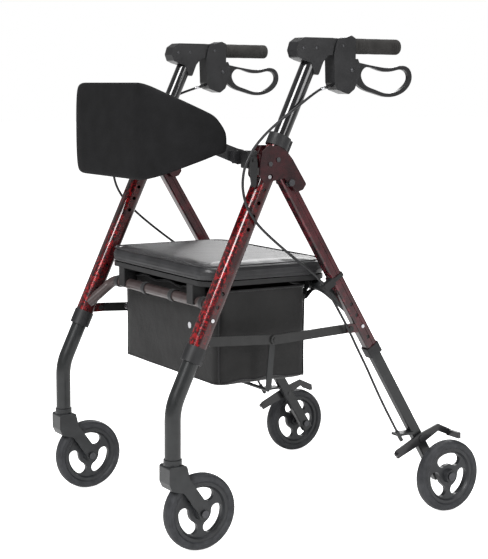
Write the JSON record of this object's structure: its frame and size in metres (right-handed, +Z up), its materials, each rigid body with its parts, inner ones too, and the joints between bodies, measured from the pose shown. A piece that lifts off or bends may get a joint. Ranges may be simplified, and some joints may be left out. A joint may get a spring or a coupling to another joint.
{
  "type": "rollator walker",
  "caption": "Folding wheeled walker with two A-shaped side frames, padded seat, hanging bag, curved backrest, height-set handles with loop brakes and swivelling front wheels.",
  "frame": {"origin": "centre of the bounding box's bottom face, on the floor", "axes": "+Z up, X across the walker with the user's left on +X, the front of the walker faces -Y"},
  "size_m": [0.623, 0.732, 0.9924],
  "materials": {
    "red_paint": "gloss",
    "black_paint": "satin",
    "bronze_paint": "satin",
    "moulded_black": "matte",
    "soft_black": "matte",
    "tyre": "matte",
    "steel": "satin",
    "brake_plate": "satin",
    "vinyl": "satin",
    "nylon": "matte",
    "webbing": "matte",
    "cable_black": "satin"
  },
  "bodies": {
    "front_frame": {"front_upper_tubes": "red_paint", "leg_collars": "moulded_black", "hub_brackets": "red_paint", "hub_bolts": "steel", "backrest_sockets": "moulded_black", "front_cross_tube": "bronze_paint", "bag": "nylon", "bag_straps": "webbing", "bag_snaps": "moulded_black", "brake_cables": "cable_black"},
    "rear_frame": {"rear_upper_tubes": "red_paint", "rear_collars": "moulded_black", "rear_cross_tube": "bronze_paint", "cable_clips": "moulded_black"},
    "brace_front": {"brace_front_links": "black_paint"},
    "brace_rear": {"brace_rear_links": "black_paint"},
    "bag_bar": {"bag_bar": "black_paint"},
    "seat": {"seat_board": "moulded_black", "seat_pad": "vinyl", "seat_clips": "moulded_black"},
    "backrest": {"backrest_band": "steel", "backrest_pad": "soft_black"},
    "handle_left": {"handle_tube_left": "black_paint", "handle_head_left": "moulded_black", "grip_left": "soft_black", "brake_housing_left": "moulded_black"},
    "brake_lever_left": {"brake_lever_left": "moulded_black"},
    "front_leg_left": {"front_lower_tube_left": "black_paint"},
    "caster_left": {"caster_fork_left": "moulded_black", "caster_axle_left": "steel"},
    "front_wheel_left": {"front_hub_left": "moulded_black", "front_tyre_left": "tyre"},
    "rear_leg_left": {"rear_lower_tube_left": "black_paint", "rear_axle_left": "steel"},
    "rear_wheel_left": {"rear_hub_left": "moulded_black", "rear_tyre_left": "tyre"},
    "brake_shoe_left": {"brake_shoe_left": "brake_plate"},
    "paddle_left": {"release_paddle_left": "moulded_black"},
    "handle_button_left": {"handle_button_left": "steel"},
    "front_leg_button_left": {"front_leg_button_left": "steel"},
    "rear_leg_button_left": {"rear_leg_button_left": "steel"},
    "handle_right": {"handle_tube_right": "black_paint", "handle_head_right": "moulded_black", "grip_right": "soft_black", "brake_housing_right": "moulded_black"},
    "brake_lever_right": {"brake_lever_right": "moulded_black"},
    "front_leg_right": {"front_lower_tube_right": "black_paint"},
    "caster_right": {"caster_fork_right": "moulded_black", "caster_axle_right": "steel"},
    "front_wheel_right": {"front_hub_right": "moulded_black", "front_tyre_right": "tyre"},
    "rear_leg_right": {"rear_lower_tube_right": "black_paint", "rear_axle_right": "steel"},
    "rear_wheel_right": {"rear_hub_right": "moulded_black", "rear_tyre_right": "tyre"},
    "brake_shoe_right": {"brake_shoe_right": "brake_plate"},
    "paddle_right": {"release_paddle_right": "moulded_black"},
    "handle_button_right": {"handle_button_right": "steel"},
    "front_leg_button_right": {"front_leg_button_right": "steel"},
    "rear_leg_button_right": {"rear_leg_button_right": "steel"}
  },
  "joints": [
    {"name": "fold", "type": "hinge", "parent": "front_frame", "child": "rear_frame", "pos_m": [0, -0.09731, 0.707], "axis": [-1, 0, 0], "range_deg": [0, 32], "deforming": ["bag", "bag_straps", "bag_snaps", "brake_cables"]},
    {"name": "brace_front_turn", "type": "hinge", "parent": "front_frame", "child": "brace_front", "pos_m": [0, -0.261, 0.405], "axis": [1, 0, 0], "range_deg": [0, 66.81]},
    {"name": "brace_rear_turn", "type": "hinge", "parent": "rear_frame", "child": "brace_rear", "pos_m": [0, 0.058, 0.405], "axis": [-1, 0, 0], "range_deg": [0, 36.66]},
    {"name": "bag_bar_turn", "type": "hinge", "parent": "brace_front", "child": "bag_bar", "pos_m": [0, -0.12, 0.397], "axis": [-1, 0, 0], "range_deg": [0, 66.81]},
    {"name": "seat_flip", "type": "hinge", "parent": "front_frame", "child": "seat", "pos_m": [0, -0.24, 0.469], "axis": [1, 0, 0], "range_deg": [0, 75]},
    {"name": "backrest_pivot", "type": "hinge", "parent": "front_frame", "child": "backrest", "pos_m": [0, -0.183, 0.757], "axis": [-1, 0, 0], "range_deg": [0, 60]},
    {"name": "handle_slide_left", "type": "slide", "parent": "front_frame", "child": "handle_left", "axis": [0, -0.4226, -0.9063], "range_m": [0, 0.1], "deforming": ["brake_cables", "handle_button_left"]},
    {"name": "brake_squeeze_left", "type": "hinge", "parent": "handle_left", "child": "brake_lever_left", "pos_m": [0.251, 0.048, 0.925], "axis": [1, 0, 0], "range_deg": [0, 10], "stiffness_Nm_per_rad": 2},
    {"name": "front_leg_slide_left", "type": "slide", "parent": "front_frame", "child": "front_leg_left", "axis": [0, -0.4226, -0.9063], "range_m": [-0.06, 0.03], "deforming": ["front_leg_button_left"]},
    {"name": "caster_swivel_left", "type": "hinge", "parent": "front_leg_left", "child": "caster_left", "pos_m": [0.251, -0.348, 0.187], "axis": [0, 0, 1], "continuous": true},
    {"name": "front_wheel_spin_left", "type": "hinge", "parent": "caster_left", "child": "front_wheel_left", "pos_m": [0.251, -0.29, 0.076], "axis": [1, 0, 0], "continuous": true},
    {"name": "rear_leg_slide_left", "type": "slide", "parent": "rear_frame", "child": "rear_leg_left", "axis": [0, 0.5231, -0.8523], "range_m": [-0.06, 0.03], "deforming": ["brake_cables", "rear_leg_button_left"]},
    {"name": "rear_wheel_spin_left", "type": "hinge", "parent": "rear_leg_left", "child": "rear_wheel_left", "pos_m": [0.2933, 0.29, 0.076], "axis": [1, 0, 0], "continuous": true},
    {"name": "brake_shoe_turn_left", "type": "hinge", "parent": "rear_leg_left", "child": "brake_shoe_left", "pos_m": [0.251, 0.24148, 0.155], "axis": [-1, 0, 0], "range_deg": [0, 2]},
    {"name": "paddle_press_left", "type": "hinge", "parent": "front_frame", "child": "paddle_left", "pos_m": [0.251, -0.181, 0.752], "axis": [-1, 0, 0], "range_deg": [0, 15], "stiffness_Nm_per_rad": 0.3},
    {"name": "handle_button_press_left", "type": "slide", "parent": "handle_left", "child": "handle_button_left", "axis": [-1, 0, 0], "range_m": [0, 0.004], "stiffness_N_per_m": 800},
    {"name": "front_leg_button_press_left", "type": "slide", "parent": "front_leg_left", "child": "front_leg_button_left", "axis": [-1, 0, 0], "range_m": [0, 0.004], "stiffness_N_per_m": 800},
    {"name": "rear_leg_button_press_left", "type": "slide", "parent": "rear_leg_left", "child": "rear_leg_button_left", "axis": [-1, 0, 0], "range_m": [0, 0.004], "stiffness_N_per_m": 800},
    {"name": "handle_slide_right", "type": "slide", "parent": "front_frame", "child": "handle_right", "axis": [0, -0.4226, -0.9063], "range_m": [0, 0.1], "deforming": ["brake_cables", "handle_button_right"]},
    {"name": "brake_squeeze_right", "type": "hinge", "parent": "handle_right", "child": "brake_lever_right", "pos_m": [-0.251, 0.048, 0.925], "axis": [1, 0, 0], "range_deg": [0, 10], "stiffness_Nm_per_rad": 2},
    {"name": "front_leg_slide_right", "type": "slide", "parent": "front_frame", "child": "front_leg_right", "axis": [0, -0.4226, -0.9063], "range_m": [-0.06, 0.03], "deforming": ["front_leg_button_right"]},
    {"name": "caster_swivel_right", "type": "hinge", "parent": "front_leg_right", "child": "caster_right", "pos_m": [-0.251, -0.348, 0.187], "axis": [0, 0, 1], "continuous": true},
    {"name": "front_wheel_spin_right", "type": "hinge", "parent": "caster_right", "child": "front_wheel_right", "pos_m": [-0.251, -0.29, 0.076], "axis": [1, 0, 0], "continuous": true},
    {"name": "rear_leg_slide_right", "type": "slide", "parent": "rear_frame", "child": "rear_leg_right", "axis": [0, 0.5231, -0.8523], "range_m": [-0.06, 0.03], "deforming": ["brake_cables", "rear_leg_button_right"]},
    {"name": "rear_wheel_spin_right", "type": "hinge", "parent": "rear_leg_right", "child": "rear_wheel_right", "pos_m": [-0.2933, 0.29, 0.076], "axis": [1, 0, 0], "continuous": true},
    {"name": "brake_shoe_turn_right", "type": "hinge", "parent": "rear_leg_right", "child": "brake_shoe_right", "pos_m": [-0.251, 0.24148, 0.155], "axis": [-1, 0, 0], "range_deg": [0, 2]},
    {"name": "paddle_press_right", "type": "hinge", "parent": "front_frame", "child": "paddle_right", "pos_m": [-0.251, -0.181, 0.752], "axis": [-1, 0, 0], "range_deg": [0, 15], "stiffness_Nm_per_rad": 0.3},
    {"name": "handle_button_press_right", "type": "slide", "parent": "handle_right", "child": "handle_button_right", "axis": [1, 0, 0], "range_m": [0, 0.004], "stiffness_N_per_m": 800},
    {"name": "front_leg_button_press_right", "type": "slide", "parent": "front_leg_right", "child": "front_leg_button_right", "axis": [1, 0, 0], "range_m": [0, 0.004], "stiffness_N_per_m": 800},
    {"name": "rear_leg_button_press_right", "type": "slide", "parent": "rear_leg_right", "child": "rear_leg_button_right", "axis": [1, 0, 0], "range_m": [0, 0.004], "stiffness_N_per_m": 800}
  ],
  "couplings": [
    {"joint": "brace_front_turn", "follows": "fold", "ratio": 2.0863},
    {"joint": "brace_rear_turn", "follows": "fold", "ratio": 1.1439},
    {"joint": "bag_bar_turn", "follows": "fold", "ratio": 2.0863},
    {"joint": "brake_shoe_turn_left", "follows": "brake_squeeze_left", "ratio": 0.2},
    {"joint": "brake_shoe_turn_right", "follows": "brake_squeeze_right", "ratio": 0.2}
  ]
}
